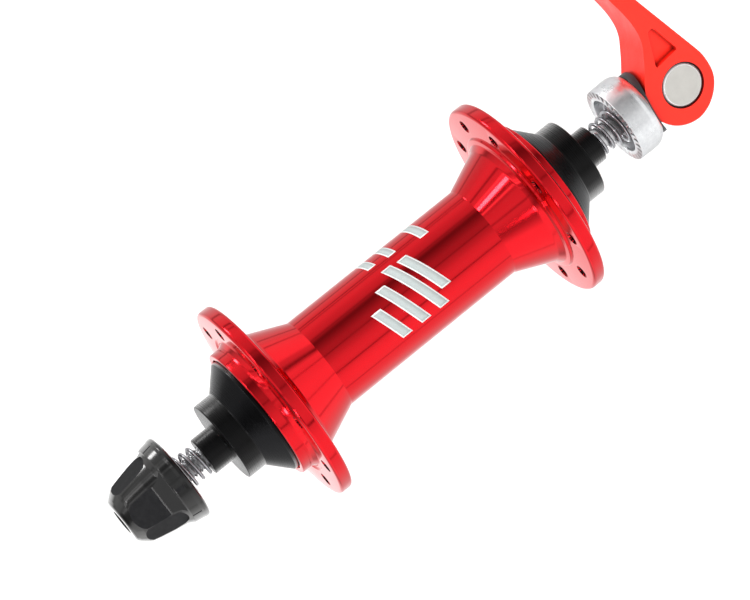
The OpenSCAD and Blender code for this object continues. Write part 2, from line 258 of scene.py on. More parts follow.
# ------------------------------------------------------------------ materials
class Nodes:
    def __init__(self, name):
        self.mat = bpy.data.materials.new(name)
        self.mat.use_nodes = True
        self.t = self.mat.node_tree
        self.t.nodes.clear()
        self.out = self.t.nodes.new("ShaderNodeOutputMaterial")
        self.b = self.t.nodes.new("ShaderNodeBsdfPrincipled")
        self.link(self.b.outputs[0], self.out.inputs[0])

    def link(self, a, b):
        self.t.links.new(a, b)

    def node(self, kind, **values):
        n = self.t.nodes.new(kind)
        for k, v in values.items():
            if k.startswith("_"):
                setattr(n, k[1:], v)
            else:
                n.inputs[k.replace("__", " ")].default_value = v
        return n

    def math(self, op, a, b=None, c=None):
        n = self.t.nodes.new("ShaderNodeMath")
        n.operation = op
        for i, x in enumerate((a, b, c)):
            if x is None:
                continue
            if isinstance(x, (int, float)):
                n.inputs[i].default_value = x
            else:
                self.link(x, n.inputs[i])
        return n.outputs[0]

    def coords(self):
        if not hasattr(self, "_co"):
            self._co = self.t.nodes.new("ShaderNodeTexCoord").outputs["Object"]
            s = self.t.nodes.new("ShaderNodeSeparateXYZ")
            self.link(self._co, s.inputs[0])
            self.x, self.y, self.z = s.outputs
            self.r = self.math(
                "SQRT",
                self.math("ADD", self.math("MULTIPLY", self.x, self.x), self.math("MULTIPLY", self.z, self.z)),
            )
        return self._co

    def noise(self, scale, detail=3.0, rough=0.55, vector=None, stretch=None, seed=0.0):
        n = self.node("ShaderNodeTexNoise", Scale=scale, Detail=detail, Roughness=rough)
        v = vector or self.coords()
        if stretch or seed:
            m = self.node("ShaderNodeMapping")
            m.inputs["Scale"].default_value = stretch or (1, 1, 1)
            m.inputs["Location"].default_value = (seed, seed * 0.7, -seed)
            self.link(v, m.inputs[0])
            v = m.outputs[0]
        self.link(v, n.inputs["Vector"])
        return n.outputs["Fac"]

    def lines(self, per_mm=6.0, detail=2.0, seed=0.0):
        """Turning marks: noise that depends on the distance along the axis and on the radius only."""
        self.coords()
        w = self.math("ADD", self.math("MULTIPLY", self.y, 1000 * per_mm), self.math("MULTIPLY", self.r, 1370 * per_mm))
        n = self.node("ShaderNodeTexNoise", _noise_dimensions="1D", Scale=1.0, Detail=detail, Roughness=0.6)
        self.link(self.math("ADD", w, seed), n.inputs["W"])
        return n.outputs["Fac"]

    def remap(self, value, lo, hi, a=0.3, b=0.7):
        n = self.node("ShaderNodeMapRange")
        n.inputs["From Min"].default_value = a
        n.inputs["From Max"].default_value = b
        n.inputs["To Min"].default_value = lo
        n.inputs["To Max"].default_value = hi
        self.link(value, n.inputs["Value"])
        return n.outputs[0]

    def mix(self, fac, a, b):
        n = self.node("ShaderNodeMix", _data_type="RGBA")
        for i, x in ((0, fac), (6, a), (7, b)):
            if isinstance(x, (int, float)):
                n.inputs[i].default_value = x
            elif isinstance(x, tuple):
                n.inputs[i].default_value = (*x, 1)
            else:
                self.link(x, n.inputs[i])
        return n.outputs[2]

    def bump(self, height, distance_mm, strength=1.0, chain=None):
        n = self.node("ShaderNodeBump")
        n.inputs["Strength"].default_value = strength
        n.inputs["Distance"].default_value = distance_mm * MM
        self.link(height, n.inputs["Height"])
        if chain is not None:
            self.link(chain, n.inputs["Normal"])
        return n.outputs[0]

    def edge(self, radius_mm=0.25, lo=0.02, hi=0.25):
        """0 on flats, 1 on outer edges: how far the bevelled normal leaves the true one."""
        bv = self.node("ShaderNodeBevel", _samples=4)
        bv.inputs["Radius"].default_value = radius_mm * MM
        g = self.t.nodes.new("ShaderNodeNewGeometry")
        d = self.t.nodes.new("ShaderNodeVectorMath")
        d.operation = "DOT_PRODUCT"
        self.link(bv.outputs[0], d.inputs[0])
        self.link(g.outputs["Normal"], d.inputs[1])
        return self.remap(self.math("SUBTRACT", 1.0, d.outputs["Value"]), 0, 1, lo, hi)

    def set(self, **values):
        for k, v in values.items():
            i = self.b.inputs[k.replace("__", " ")]
            if isinstance(v, tuple):
                i.default_value = (*v, 1) if len(v) == 3 else v
            elif isinstance(v, (int, float)):
                i.default_value = v
            else:
                self.link(v, i)
        return self


def anodised(name, colour, dark, rough, coat, lines_mm, smudge=0.06, metallic=1.0, holes=False):
    m = Nodes(name)
    ln = m.lines(lines_mm)
    cloud = m.noise(90, 4, 0.6)
    fine = m.noise(2600, 2, 0.5, seed=3.1)
    tone = m.remap(m.noise(38, 3, 0.5, seed=1.7), 0.0, 0.35)
    base = m.mix(tone, colour, dark)
    # lighter outer edges: painted highlight
    base = m.mix(m.math("MULTIPLY", m.edge(0.18), 0.25), base, tuple(min(1, c * 1.25 + 0.04) for c in colour))
    r = m.math("ADD", m.remap(ln, rough * 0.8, rough * 1.25), m.remap(cloud, -smudge * 0.3, smudge))
    r = m.math("ADD", r, m.remap(fine, 0, 0.02))
    n1 = m.bump(ln, 0.0009, 0.6)
    n2 = m.bump(fine, 0.0006, 0.4, n1)
    m.set(Base__Color=base, Metallic=metallic, Roughness=r, Normal=n2)
    m.set(Coat__Weight=coat, Coat__Roughness=0.05, Coat__IOR=1.5)
    if holes:
        # the face attribute "hole" is 1 inside the spoke holes: painted shade there as a near-black base, with no coat
        # and more roughness
        at = m.node("ShaderNodeAttribute", _attribute_name="hole").outputs["Fac"]
        m.set(Base__Color=m.mix(at, base, (0.035, 0.003, 0.004)), Roughness=m.math("ADD", r, m.math("MULTIPLY", at, 0.3)))
        m.set(Coat__Weight=m.math("MULTIPLY", m.math("SUBTRACT", 1.0, at), coat))
    return m.mat


def black_metal(name, stops, rough=0.25, lines_mm=5.0, bump_mm=0.0015, wear_mix=0.25, panels=False, dark_cones=False):
    """Black anodised metal. Its base colour follows the stops over the view angle and brightens towards grazing: a
    painted sheen. stops: (1 - cosine of the view angle, reflectance).
    """
    m = Nodes(name)
    ln = m.lines(lines_mm, seed=11)
    cloud = m.noise(120, 4, 0.6, seed=4)
    grain = m.noise(4200, 2, 0.5, seed=2)
    g = m.t.nodes.new("ShaderNodeNewGeometry")
    d = m.t.nodes.new("ShaderNodeVectorMath")
    d.operation = "DOT_PRODUCT"
    m.link(g.outputs["Incoming"], d.inputs[0])
    m.link(g.outputs["Normal"], d.inputs[1])
    f = m.math("SUBTRACT", 1.0, m.math("ABSOLUTE", d.outputs["Value"]))
    # base colour ramp over the view angle: painted sheen, brighter towards grazing
    ramp = m.t.nodes.new("ShaderNodeValToRGB")
    e = ramp.color_ramp.elements
    e[0].position, e[0].color = 0.0, (stops[0][1],) * 3 + (1,)
    e[1].position, e[1].color = 1.0, (stops[-1][1],) * 3 + (1,)
    for pos, v in stops[1:-1]:
        e.new(pos).color = (v, v * 0.99, v * 0.98, 1)
    m.link(f, ramp.inputs[0])
    shade = ramp.outputs[0]
    if dark_cones:
        # faces turned towards the axis ends get a flat near-black base in place of the painted sheen
        sep = m.t.nodes.new("ShaderNodeSeparateXYZ")
        m.link(g.outputs["Normal"], sep.inputs[0])
        shade = m.mix(m.remap(m.math("ABSOLUTE", sep.outputs[1]), 0, 1, 0.45, 0.68), shade, (0.013, 0.013, 0.014))
    wear = m.math("MULTIPLY", m.edge(0.12, 0.03, 0.3), m.remap(m.noise(700, 3, 0.6, seed=6), 0.2, 0.9, 0.4, 0.6))
    base = m.mix(m.remap(cloud, 0, 0.25), shade, (0.03, 0.03, 0.032))
    base = m.mix(m.math("MULTIPLY", wear, wear_mix), base, (0.45, 0.45, 0.46))
    r = m.math("ADD", m.remap(ln, rough * 0.8, rough * 1.2), m.remap(cloud, -0.03, 0.06))
    n1 = m.bump(ln, bump_mm, 0.6)
    n2 = m.bump(grain, 0.002, 0.5, n1)
    m.set(Base__Color=base, Metallic=1.0, Roughness=r, Normal=n2)
    if panels:
        # milled flats and the bore get a rough, non-metal finish and a near-black base that is painted shade: the face
        # attribute "panel" is 1 there
        at = m.node("ShaderNodeAttribute", _attribute_name="panel").outputs["Fac"]
        panel_shade = m.mix(m.remap(m.noise(900, 3, 0.6, seed=14), 0, 1), (0.009, 0.009, 0.010), (0.015, 0.015, 0.016))
        m.set(Base__Color=m.mix(at, base, panel_shade), Metallic=m.math("SUBTRACT", 1.0, at))
        m.set(Roughness=m.math("ADD", m.math("MULTIPLY", r, m.math("SUBTRACT", 1.0, at)), m.math("MULTIPLY", m.remap(cloud, 0.44, 0.56), at)))
        m.set(Specular__IOR__Level=0.10)
    return m.mat


def steel(name, colour=(0.56, 0.56, 0.57), rough=0.28, lines_mm=7.0, bump_mm=0.002, lo=0.85, hi=1.3, seed=0.0):
    m = Nodes(name)
    ln = m.lines(lines_mm, seed=seed)
    cloud = m.noise(140, 4, 0.6, seed=seed + 2)
    base = m.mix(m.remap(cloud, 0, 0.6), colour, tuple(c * 0.82 for c in colour))
    r = m.math("ADD", m.remap(ln, rough * lo, rough * hi), m.remap(cloud, -0.03, 0.07))
    m.set(Base__Color=base, Metallic=1.0, Roughness=r, Normal=m.bump(ln, bump_mm, 0.6))
    return m.mat


def plastic(name, colour, rough, grain_mm=0.004, coat=0.0, sss=0.0):
    m = Nodes(name)
    cloud = m.noise(160, 4, 0.6, seed=8)
    grain = m.noise(3200, 3, 0.6, seed=5)
    base = m.mix(m.remap(cloud, 0, 0.6), colour, tuple(c * 0.8 for c in colour))
    r = m.math("ADD", m.remap(grain, rough * 0.9, rough * 1.12), m.remap(cloud, -0.03, 0.05))
    m.set(Base__Color=base, Metallic=0.0, Roughness=r, Normal=m.bump(grain, grain_mm, 0.5), Coat__Weight=coat)
    if sss:
        m.set(Subsurface__Weight=sss, Subsurface__Scale=0.001)
    return m.mat


M = {
    "red": anodised("red_anodised", (0.74, 0.0065, 0.0135), (0.60, 0.0035, 0.010), 0.075, 0.22, 5.0, holes=True),
    "black": black_metal("black_anodised", [(0, 0.010), (0.14, 0.014), (0.30, 0.028), (0.45, 0.085), (0.57, 0.26), (1, 0.8)], 0.26, dark_cones=True),
    "nut": black_metal("nut_black", [(0, 0.046), (0.14, 0.050), (0.30, 0.075), (0.45, 0.16), (0.57, 0.34), (1, 0.9)], 0.13, 3.0, 0.0008, 0.4, True),
    "alu": steel("bare_aluminium", (0.74, 0.75, 0.77), 0.30),
    "race": steel("bearing_steel", (0.56, 0.57, 0.59), 0.16, 9.0, 0.001, seed=5.0),
    "ball": steel("ball_steel", (0.75, 0.76, 0.78), 0.05, 2.0, 0.0002, seed=7.0),
    "rod": steel("rod_steel", (0.55, 0.55, 0.56), 0.24, 4.0, 0.002, seed=9.0),
    "insert": steel("insert_steel", (0.50, 0.50, 0.52), 0.30, 6.0, 0.003, seed=12.0),
    "washer": steel("washer_steel", (0.58, 0.59, 0.60), 0.34, 6.0, 0.004, seed=15.0),
    "spring": steel("spring_steel", (0.42, 0.42, 0.44), 0.22, 2.0, 0.001, seed=17.0),
    "rubber": plastic("rubber_black", (0.022, 0.022, 0.023), 0.62, 0.010),
    "cage": plastic("cage_nylon", (0.62, 0.55, 0.40), 0.45, 0.004, sss=0.1),
    "bushing": plastic("bushing_plastic", (0.020, 0.021, 0.023), 0.42, 0.004),
    "nylon": plastic("lock_nylon", (0.80, 0.81, 0.76), 0.40, 0.003, sss=0.15),
}


def lever_material():
    m = Nodes("orange_anodised")
    blast = m.noise(5200, 3, 0.6, seed=2)
    cloud = m.noise(70, 4, 0.6, seed=9)
    rub = m.noise(420, 4, 0.65, stretch=(1, 1, 0.25), seed=5)
    base = m.mix(m.remap(cloud, 0, 0.5), (1.0, 0.026, 0.012), (0.93, 0.020, 0.009))
    # lighter outer edges: painted highlight
    base = m.mix(m.math("MULTIPLY", m.edge(0.2, 0.03, 0.3), 0.3), base, (1.0, 0.11, 0.07))
    # darker in the pocket and corners, from the ambient occlusion node: painted shade
    ao = m.node("ShaderNodeAmbientOcclusion", _samples=6, Distance=1.3 * MM)
    base = m.mix(m.remap(ao.outputs["AO"], 1, 0, 0.25, 0.95), base, (0.10, 0.003, 0.002))
    # painted shade in the gap round the pin: a near-black ring on the lever
    px = m.math("SUBTRACT", m.math("MULTIPLY", m.x, 0.580703), m.math("MULTIPLY", m.z, 0.814116))
    py = m.math("SUBTRACT", m.y, 0.07758)
    rad = m.math("SQRT", m.math("ADD", m.math("MULTIPLY", px, px), m.math("MULTIPLY", py, py)))
    base = m.mix(m.remap(rad, 1, 0, 5.16 * MM, 5.3 * MM), base, (0.012, 0.001, 0.001))
    r = m.math("ADD", m.remap(blast, 0.36, 0.48), m.remap(rub, -0.05, 0.07))
    m.set(Base__Color=base, Metallic=0.15, Roughness=r, Normal=m.bump(blast, 0.004, 0.5))
    m.set(Specular__IOR__Level=0.35)
    return m.mat


def pin_material():
    m = Nodes("pin_steel")
    m.coords()
    # distance from the pin's own axis gives the lathe's rings on its end faces
    px = m.math("SUBTRACT", m.math("MULTIPLY", m.x, 0.580703), m.math("MULTIPLY", m.z, 0.814116))
    py = m.math("SUBTRACT", m.y, 0.07758)
    rad = m.math("SQRT", m.math("ADD", m.math("MULTIPLY", px, px), m.math("MULTIPLY", py, py)))
    n = m.node("ShaderNodeTexNoise", _noise_dimensions="1D", Scale=1.0, Detail=3.0, Roughness=0.6)
    m.link(m.math("MULTIPLY", rad, 9000.0), n.inputs["W"])
    grain = m.noise(2400, 3, 0.6, seed=4)
    cloud = m.noise(300, 4, 0.6, seed=1)
    base = m.mix(m.remap(cloud, 0, 0.7), (0.60, 0.585, 0.55), (0.52, 0.505, 0.475))
    # near-white ring on the chamfer: painted highlight
    base = m.mix(m.remap(rad, 0, 1, 4.42 * MM, 4.5 * MM), base, (0.93, 0.93, 0.93))
    r = m.math("ADD", m.remap(n.outputs["Fac"], 0.34, 0.5), m.remap(grain, 0, 0.05))
    m.set(Base__Color=base, Metallic=0.85, Roughness=r, Normal=m.bump(grain, 0.004, 0.5, m.bump(n.outputs["Fac"], 0.003, 0.5)))
    return m.mat


def seat_material():
    m = Nodes("seat_silver")
    ln = m.lines(4.0, seed=21)
    pits = m.noise(900, 5, 0.65, seed=3)
    cloud = m.noise(260, 4, 0.6, seed=6)
    base = m.mix(m.remap(pits, 0, 0.7), (0.82, 0.83, 0.84), (0.62, 0.63, 0.65))
    r = m.math("ADD", m.remap(cloud, 0.22, 0.42), m.remap(ln, -0.03, 0.05))
    m.set(Base__Color=base, Metallic=1.0, Roughness=r, Normal=m.bump(pits, 0.02, 0.5, m.bump(ln, 0.003, 0.5)))
    return m.mat


def print_material():
    m = Nodes("barrel_print")
    speck = m.noise(5200, 3, 0.7, seed=3)
    # silver-grey filling inside a white outline
    at = m.node("ShaderNodeAttribute", _attribute_name="fill").outputs["Fac"]
    base = m.mix(m.remap(speck, 0, 1, 0.4, 0.62), (0.83, 0.85, 0.85), (0.66, 0.70, 0.69))
    base = m.mix(at, base, m.mix(m.remap(speck, 0, 1, 0.4, 0.62), (0.43, 0.475, 0.468), (0.36, 0.405, 0.40)))
    m.set(Base__Color=base, Metallic=0.0, Roughness=m.remap(speck, 0.38, 0.6), Normal=m.bump(speck, 0.004, 0.6))
    return m.mat


M["lever"] = lever_material()
M["pin"] = pin_material()
M["seat"] = seat_material()
M["print"] = print_material()


def dress(o, key):
    o.data.materials.clear()
    o.data.materials.append(M[key])
    return o


def piece(o, body, key, *nodes):
    dress(o, key)
    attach(o, body)
    if nodes:
        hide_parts(*nodes)
    return o


# ------------------------------------------------------------------ hub shell
FI, FO, FR, CR, BR = 33.9, 37.1, 24.6, 16.0, 11.1
CE = 40.5
half = [
    (BR, 0), (BR, 23.0, 0.5), (15.0, 32.0, 1.5), (16.1, 33.2, 0.5), (17.3, 33.35, 0.25), (17.5, FI, 0.2),
    (FR, FI, 0.75), (FR, FO, 0.75), (18.0, FO, 0.3), (17.6, FO - 0.35, 0.2), (16.8, FO - 0.35, 0.5),
    (CR + 0.1, FO + 0.7, 0.5), (CR, FO + 1.2, 0.3), (CR, CE, 0.35), (14.68, CE, 0.25), (14.65, 39.05, 0.1), (14.0, 39.05, 0.1),
    (14.0, 31.87, 0.1), (12.0, 31.87, 0.2), (11.45, 31.1, 0.2), (9.3, 31.1, 0.3), (9.3, 0),
]


def mirror_profile(h):
    """Both halves of a shell from the half for y >= 0, whose first and last points are at y 0."""
    left = h[1:-1]
    return left + [(p[0], -p[1], *p[2:]) for p in reversed(left)]


shell = lathe("hub_shell_turned", mirror_profile(half), segs=288, seg=5)
tools = []
for s in (-1, 1):
    for k in range(9):
        a = math.radians(7 + 40 * k + (20 if s > 0 else 0))
        at = Vector((math.sin(a) * 20.5, s * 35.5, math.cos(a) * 20.5)) * MM
        mat = Matrix.Translation(at) @ Matrix.Rotation(math.radians(90), 4, "X")
        prof = [(0, -4), (1.3 + 0.35 + 2.05, -4), (1.3 + 0.35, -1.6 - 0.0), (1.3, -1.25), (1.3, 1.25), (1.65, 1.6), (3.7, 4), (0, 4)]
        prof = [(0, -2.2), (1.65 + 0.6, -2.2), (1.3, -1.25), (1.3, 1.25), (2.25, 2.2), (0, 2.2)]
        tools.append(revolve_z("t", prof, 40, mat))
cut(shell, join_meshes("holes", tools), angle=30)
at = shell.data.attributes.new("hole", "FLOAT", "FACE")
for f in shell.data.polygons:
    c = f.center / MM
    inside = 0.0
    if 33.95 < abs(c.y) < 37.05 and abs(math.hypot(c.x, c.z) - 20.5) < 1.8:
        s = 1 if c.y > 0 else -1
        for k in range(9):
            a = math.radians(7 + 40 * k + (20 if s > 0 else 0))
            if math.hypot(c.x - 20.5 * math.sin(a), c.z - 20.5 * math.cos(a)) < 1.5:
                inside = 1.0
    at.data[f.index].value = inside
piece(shell, "rotor", "red", "hub_shell")


# generic mark printed on the barrel: slanted plain bars, no letters
def barrel_patch(name, outline, depth=0.03):
    """outline: (y, arc) in mm on the barrel, arc measured from +Z towards +X; filled as a fan of quads."""
    bm = bmesh.new()
    r = BR + depth
    for quad in outline:
        vs = []
        for y, arc in quad:
            a = arc / BR
            vs.append(bm.verts.new((r * math.sin(a) * MM, y * MM, r * math.cos(a) * MM)))
        bm.faces.new(vs)
    bmesh.ops.remove_doubles(bm, verts=bm.verts, dist=1e-7)
    bmesh.ops.recalc_face_normals(bm, faces=bm.faces)
    bmesh.ops.solidify(bm, geom=bm.faces[:], thickness=0.05 * MM)
    bmesh.ops.recalc_face_normals(bm, faces=bm.faces)
    me = bpy.data.meshes.new(name)
    bm.to_mesh(me)
    bm.free()
    o = new_object(name, me)
    for f in o.data.polygons:
        f.use_smooth = True
    return o


def ring_quads(cy, ca, r0, r1, n=48):
    out = []
    for k in range(n):
        a, b = 2 * math.pi * k / n, 2 * math.pi * (k + 1) / n
        out.append([
            (cy + r0 * math.cos(a), ca + r0 * math.sin(a)), (cy + r1 * math.cos(a), ca + r1 * math.sin(a)),
            (cy + r1 * math.cos(b), ca + r1 * math.sin(b)), (cy + r0 * math.cos(b), ca + r0 * math.sin(b)),
        ])
    return out


def bar_quads(y0, y1, a0, a1, n=16):
    out = []
    for k in range(n):
        p, q = a0 + (a1 - a0) * k / n, a0 + (a1 - a0) * (k + 1) / n
        out.append([(y0, p), (y1, p), (y1, q), (y0, q)])
    return out


CA = BR * math.radians(28)


def slant_quads(y, width, a0, a1, lean, n=20):
    """A bar that leans along the axis as it runs round the barrel."""
    out = []
    for k in range(n):
        p, q = a0 + (a1 - a0) * k / n, a0 + (a1 - a0) * (k + 1) / n
        yp, yq = y + lean * (p - a0), y + lean * (q - a0)
        out.append([(yp, p), (yp + width, p), (yq + width, q), (yq, q)])
    return out


# (start along the axis, width, from, to, lean): four long bars and a row of three short ones
BARS = ((-9.6, 2.6, -1.0, 7.5, 0.35), (-5.6, 2.6, -4.5, 7.5, 0.35), (-1.6, 2.6, -7.5, 7.5, 0.35), (2.4, 2.6, -7.0, 4.0, 0.35),
        (8.6, 2.4, -16.0, -8.0, 0.15), (1.0, 2.2, -16.0, -9.6, 0.15), (-4.0, 2.2, -16.0, -10.4, 0.15))
for name, inset, depth in (("barrel_mark", 0, 0.03), ("barrel_mark_filling", 0.32, 0.045)):
    quads = []
    for y, width, a0, a1, lean in BARS:
        quads += slant_quads(y + inset * (1 + lean), width - inset * 2, CA + a0 + inset, CA + a1 - inset, lean)
    mark = barrel_patch(name, quads, depth)
    at = mark.data.attributes.new("fill", "FLOAT", "FACE")
    for f in mark.data.polygons:
        at.data[f.index].value = 1.0 if inset else 0.0
    piece(mark, "rotor", "print")

# ------------------------------------------------------------------ end caps
cap_half = [
    (7.53, 38.92), (9.1, 38.92), (9.1, 39.5, 0.15), (14.3, 39.5, 0.3), (14.3, 41.2, 0.35),
    (9.6, 45.6, 0.5), (9.6, 50.0, 0.35), (4.5, 50.0, 0.15), (4.5, 55.0, 0.3), (2.8, 55.0, 0.2), (2.8, 46.4), (7.53, 46.4),
]
piece(lathe("end_cap_turned_right", cap_half, -1, segs=224), "axle_set", "black", "end_cap_right")
piece(lathe("end_cap_turned_left", cap_half, 1, segs=224), "axle_set", "black", "end_cap_left")

# ------------------------------------------------------------------ quick release
PIN_Y = 77.58
LEVER = Matrix.Rotation(math.radians(-35.5), 4, "Y") @ Matrix.Translation((0, PIN_Y * MM, 0))
# outline plane (x outwards along the axis, y along the arm) to lever frame (+Y, +Z), thickness along X
PLANE = LEVER @ Matrix(((0, 0, 1, 0), (1, 0, 0, 0), (0, 1, 0, 0), (0, 0, 0, 1)))


def arm_out(b):
    if b < 5:
        return 7.6 - 0.0391 * (b - 0.6) ** 2
    if b < 26:
        return 6.843 - 0.344 * (b - 5)
    return -0.381 - 5.54 * (1 - math.exp(-(b - 26) / 16))


def arm_t(b):
    return 3.6 + 5.0 * math.exp(-(b - 12) / 5.5) - 1.1 * (max(0.0, b - 26) / 26) ** 2


H0, K = 9.4, 1.2 / math.pi
TIP = 52.0
outline = []
for f in range(0, 181, 2):
    q = math.radians(f)
    u = min(1.0, max(0.0, (f - 85) / 60))
    h = H0 - K * q - 0.6 * u * u * (3 - 2 * u)
    dh = -K - 3.6 * u * (1 - u) / math.radians(60)
    outline.append((-h * math.cos(q) + dh * math.sin(q), -h * math.sin(q) - dh * math.cos(q)))
b = 0.9
while b < TIP:
    outline.append((arm_out(b), b))
    b += 0.6
for f in range(0, 181, 15):
    q = math.radians(f)
    outline.append((arm_out(TIP) - 1.25 + 1.25 * math.cos(q), TIP + 1.25 * math.sin(q)))
b = TIP - 0.9
while b > 11.9:
    outline.append((arm_out(b) - arm_t(b), b))
    b -= 0.6
outline += [(-4.75, 10.8), (-5.45, 9.4), (-6.2, 8.05), (-6.91, 6.85), (-7.74, 5.39), (-8.65, 3.5), (-9.25, 1.9)]
lever = prism("qr_lever_forged", outline, 5.5, PLANE)
finish_mesh(lever)
# rounded end of the arm, seen from outside
plan = [(-5.5, -14.0), (5.5, -14.0)]
for f in range(0, 181, 6):
    q = math.radians(f)
    plan.append((5.5 * math.cos(q), TIP + 1.3 - 5.5 + 5.5 * math.sin(q)))
cut(lever, prism("t", plan, 40, LEVER @ Matrix(((1, 0, 0, 0), (0, 0, -1, 0), (0, 1, 0, 0), (0, 0, 0, 1)))), "INTERSECT")
cut(lever, revolve_z("t", [(0, -6.2), (5.25, -6.2), (5.25, -4.9), (4.95, -4.9), (4.95, 4.9), (5.25, 4.9), (5.25, 6.2), (0, 6.2)], 128,
                     LEVER @ Matrix.Rotation(math.radians(90), 4, "Y")))
for s in (-1, 1):
    pocket = [(-3.16, 7.25), (2.85, 7.8), (3.03, 8.3), (1.0, 14.6), (0.33, 15.55), (-0.75, 15.4), (-1.05, 15.0), (-3.1, 8.1)]
    t = prism("t", pocket, 2.4, PLANE @ Matrix.Translation((0, 0, s * 6.3 * MM)))
    cut(lever, t)
bm = bmesh.new()
bmesh.ops.create_cube(bm, size=1.0)
me = bpy.data.meshes.new("t")
bm.to_mesh(me)
bm.free()
me.transform(LEVER @ Matrix.Translation((0, 0, (2.8 - 20) * 0.5 * MM)) @ Matrix.Diagonal((5.6 * MM, 40 * MM, 22.8 * MM, 1)))
cut(lever, new_object("t", me))
bevel(lever, 0.28, 3, 35)
tidy(lever, 40)
piece(lever, "lever", "lever", "qr_lever")

pin = revolve_z("pivot_pin_turned", [(0, -5.4), (4.52, -5.4), (4.78, -5.22), (4.9, -4.95), (4.9, 4.95), (4.78, 5.22), (4.52, 5.4), (0, 5.4)], 128,
                LEVER @ Matrix.Rotation(math.radians(90), 4, "Y"))
finish_mesh(pin)
piece(pin, "skewer_set", "pin", "pivot_pin")

# skewer rod: plain shank, rolled thread at the nut end
Y_T0, Y_T1 = -74.4, -38.0


def rod_mesh():
    segs = 48
    ys = []
    y = Y_T0
    while y < Y_T1:
        ys.append(y)
        y += 0.1
    ys += [Y_T1 + 0.2, -20.0, 0.0, 20.0, 40.0, 60.0, 70.0, 79.08, 79.48]
    verts, faces = [], []
    for y in ys:
        for k in range(segs):
            a = 2 * math.pi * k / segs
            r = 2.5
            if y < Y_T1:
                ph = (y / 0.8 - k / segs) % 1.0
                d = 0.42 * min(1.0, max(0.0, 1.25 * abs(2 * ph - 1) - 0.12))
                fade = min(1.0, (Y_T1 - y) / 1.2)
                r = 2.5 - d * fade
                r = min(r, 2.1 + (y - Y_T0) * 1.0)
            elif y > 79.1:
                r = 2.1
            verts.append((r * math.sin(a) * MM, y * MM, r * math.cos(a) * MM))
    for i in range(len(ys) - 1):
        for k in range(segs):
            k2 = (k + 1) % segs
            faces.append((i * segs + k, (i + 1) * segs + k, (i + 1) * segs + k2, i * segs + k2))
    faces.append(tuple(range(segs)))
    faces.append(tuple(range(len(verts) - 1, len(verts) - segs - 1, -1)))
    me = bpy.data.meshes.new("skewer_rod_rolled")
    me.from_pydata(verts, [], faces)
    bm = bmesh.new()
    bm.from_mesh(me)
    bmesh.ops.recalc_face_normals(bm, faces=bm.faces)
    bm.to_mesh(me)
    bm.free()
    return finish_mesh(new_object("skewer_rod_rolled", me), 40)


piece(rod_mesh(), "skewer_set", "rod", "skewer_rod")

def cross(radius, segs=240):
    """Cylinder parallel to the lever's pin, about the hollow that the cam turns in."""
    return revolve_z("t", [(0, -20), (radius, -20), (radius, 20), (0, 20)], segs,
                     Matrix.Rotation(math.radians(-35.5), 4, "Y") @ Matrix.Translation((0, 84.15 * MM, 0)) @ Matrix.Rotation(math.radians(90), 4, "Y"))


bush = lathe("cam_bushing_moulded", [(2.58, 65.1), (4.7, 65.1, 0.2), (5.0, 65.4, 0.1), (5.0, 66.64), (7.9, 66.64), (7.9, 72.6), (2.58, 72.6)], 1, segs=160)
# under side of the wings
under = lathe("t", [(5.0, 66.0), (12.0, 66.0), (12.0, 72.0), (5.0, 72.0)], 1, segs=96)
cut(under, cross(17.5))
cut(bush, under)
cut(bush, cross(16.0), angle=30)
bevel(bush, 0.2, 2, 35)
piece(bush, "seat_set", "bushing", "cam_bushing")


def serrate(tip, inner, outer, count=30, deep=0.36, phase=6.0):
    """Radius-free serration: returns a function moving face points inwards in V grooves."""
    def f(o, side):
        for v in o.data.vertices:
            r = math.hypot(v.co.x, v.co.z) / MM
            if abs(abs(v.co.y) / MM - tip) < 0.05 and r > inner:
                a = (math.degrees(math.atan2(v.co.x, v.co.z)) - phase) % (360 / count)
                a = min(a, 360 / count - a)
                off = math.radians(a) * r
                d = max(0.0, deep - off)
                v.co.y += side * d * MM * min(1.0, (r - inner) / 0.25)
        o.data.update()
        return o
    return f


seat_profile = [
    (6.9, 61.0, 0.1), (7.4, 61.0), (7.6, 61.0), (7.8, 61.0), (8.3, 61.0), (8.8, 61.0), (9.3, 61.0, 0.25), (9.4, 64.6, 0.5), (9.35, 66.0, 0.5),
    (9.15, 66.8, 0.4), (8.75, 67.5, 0.3), (8.3, 68.0, 0.2), (8.0, 68.1, 0.1), (5.05, 68.1), (5.05, 65.0), (2.7, 65.0, 0.1), (2.7, 64.0), (6.9, 64.0, 0.2)]
seat = lathe("clamp_seat_turned", seat_profile, 1, segs=360, seg=4)
serrate(61.0, 7.6, 9.4)(seat, 1)
cut(seat, cross(16.5), angle=28)
core = lathe("t", [(0, 60), (7.97, 60), (7.97, 76), (0, 76)], 1, segs=96)
cut(core, cross(17.55), "INTERSECT")
cut(seat, core, angle=28)
tidy(seat, 28)
piece(seat, "seat_set", "seat", "clamp_seat")

washer = lathe("nut_washer_serrated", [
    (7.0, 61.0, 0.08), (7.3, 61.0), (7.5, 61.0), (7.7, 61.0), (8.1, 61.0), (8.5, 61.0), (8.85, 61.0, 0.15), (8.85, 62.3, 0.1), (7.0, 62.3, 0.1)], -1, segs=360, seg=3)
serrate(61.0, 7.5, 8.9)(washer, -1)
finish_mesh(washer, 28)
piece(washer, "washer_set", "washer", "nut_washer")


def smooth(x):
    x = max(0.0, min(1.0, x))
    return x * x * (3 - 2 * x)


